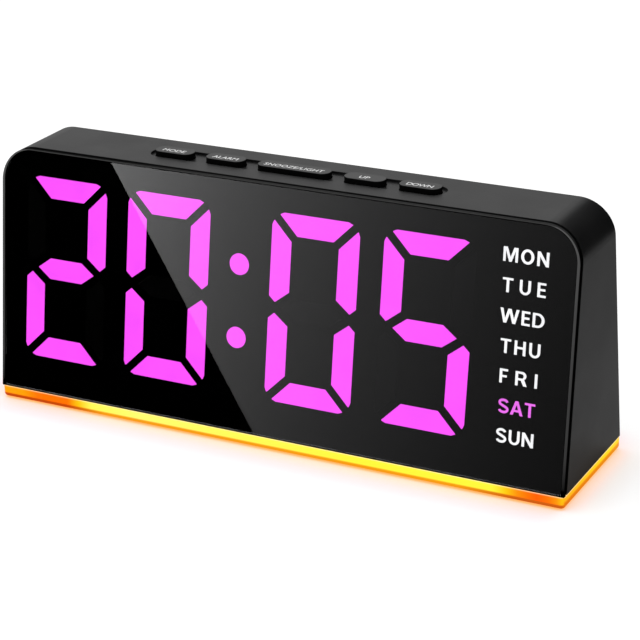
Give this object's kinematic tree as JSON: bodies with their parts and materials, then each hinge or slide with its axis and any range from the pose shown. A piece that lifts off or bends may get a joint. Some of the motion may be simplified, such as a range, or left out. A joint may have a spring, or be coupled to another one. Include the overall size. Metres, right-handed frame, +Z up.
{
  "type": "digital day clock",
  "caption": "Wedge-shaped LED alarm clock with large digits, a lit column of day names, top push buttons and a glowing light ring round the base.",
  "frame": {"origin": "on the table under the middle of the footprint", "axes": "+X to the right as seen from the front, +Y to the back, +Z up"},
  "size_m": [0.1654, 0.039, 0.071],
  "materials": {
    "case_black": "fine moulded grain, matt black",
    "frame_black": "satin black",
    "lens_smoked": "smoked clear sheet, polished",
    "button_black": "satin black, printed legend",
    "film_black": "black printed film",
    "mask_black": "plain moulded black",
    "segment_lit": "glowing magenta light bar",
    "segment_dark": "unlit smoked light bar",
    "day_white": "glowing white light bar",
    "ring_amber": "frosted light guide, glowing yellow to orange",
    "board_green": "green solder mask",
    "lamp_white": "white moulding",
    "plunger_plastic": "dark grey moulding",
    "steel_bright": "bright plated steel",
    "screw_steel": "zinc plated",
    "can_aluminium": "drawn can",
    "cable_grey": "grey flat cable",
    "foot_rubber": "soft black rubber"
  },
  "bodies": {
    "root": {"rear_housing": "case_black", "base_plate": "case_black", "front_frame": "frame_black", "front_lens": "lens_smoked", "display_film": "film_black", "light_mask": "mask_black", "switch_bodies": "mask_black", "control_chip": "mask_black", "driver_chips": "mask_black", "power_inlet_core": "mask_black", "buzzer": "mask_black", "digit_1_lit_bars": "segment_lit", "digit_2_lit_bars": "segment_lit", "digit_3_lit_bars": "segment_lit", "digit_4_lit_bars": "segment_lit", "colon_bars": "segment_lit", "lit_day_bar": "segment_lit", "digit_1_dark_bars": "segment_dark", "digit_2_dark_bars": "segment_dark", "digit_3_dark_bars": "segment_dark", "digit_4_dark_bars": "segment_dark", "other_day_bars": "day_white", "light_ring": "ring_amber", "display_board": "board_green", "button_board": "board_green", "power_inlet_board": "board_green", "light_board": "board_green", "display_leds": "lamp_white", "light_leds": "lamp_white", "light_reflector": "lamp_white", "board_sockets": "lamp_white", "switch_lids": "steel_bright", "power_inlet_shell": "steel_bright", "coin_cell": "steel_bright", "contact_minus": "steel_bright", "contact_plus": "steel_bright", "clock_crystal": "steel_bright", "display_board_screws": "screw_steel", "button_board_screws": "screw_steel", "base_screws": "screw_steel", "capacitors": "can_aluminium", "button_cable": "cable_grey", "light_cable": "cable_grey", "power_cable": "cable_grey", "battery_leads": "cable_grey", "rubber_feet": "foot_rubber"},
    "mode_button_body": {"mode_button": "button_black", "mode_switch_plunger": "plunger_plastic"},
    "alarm_button_body": {"alarm_button": "button_black", "alarm_switch_plunger": "plunger_plastic"},
    "snooze_button_body": {"snooze_button": "button_black", "snooze_switch_plunger": "plunger_plastic"},
    "up_button_body": {"up_button": "button_black", "up_switch_plunger": "plunger_plastic"},
    "down_button_body": {"down_button": "button_black", "down_switch_plunger": "plunger_plastic"},
    "battery_door_body": {"battery_door": "case_black", "battery_door_screw": "screw_steel"}
  },
  "joints": [
    {"name": "mode_press", "type": "slide", "parent": "root", "child": "mode_button_body", "axis": [0, 0, -1], "range_m": [0, 0.0004], "stiffness_N_per_m": 3000},
    {"name": "alarm_press", "type": "slide", "parent": "root", "child": "alarm_button_body", "axis": [0, 0, -1], "range_m": [0, 0.0004], "stiffness_N_per_m": 3000},
    {"name": "snooze_press", "type": "slide", "parent": "root", "child": "snooze_button_body", "axis": [0, 0, -1], "range_m": [0, 0.0004], "stiffness_N_per_m": 3000},
    {"name": "up_press", "type": "slide", "parent": "root", "child": "up_button_body", "axis": [0, 0, -1], "range_m": [0, 0.0004], "stiffness_N_per_m": 3000},
    {"name": "down_press", "type": "slide", "parent": "root", "child": "down_button_body", "axis": [0, 0, -1], "range_m": [0, 0.0004], "stiffness_N_per_m": 3000},
    {"name": "battery_door_pull", "type": "slide", "parent": "root", "child": "battery_door_body", "axis": [0, 0.9929, 0.1188], "range_m": [0, 0.012]}
  ]
}
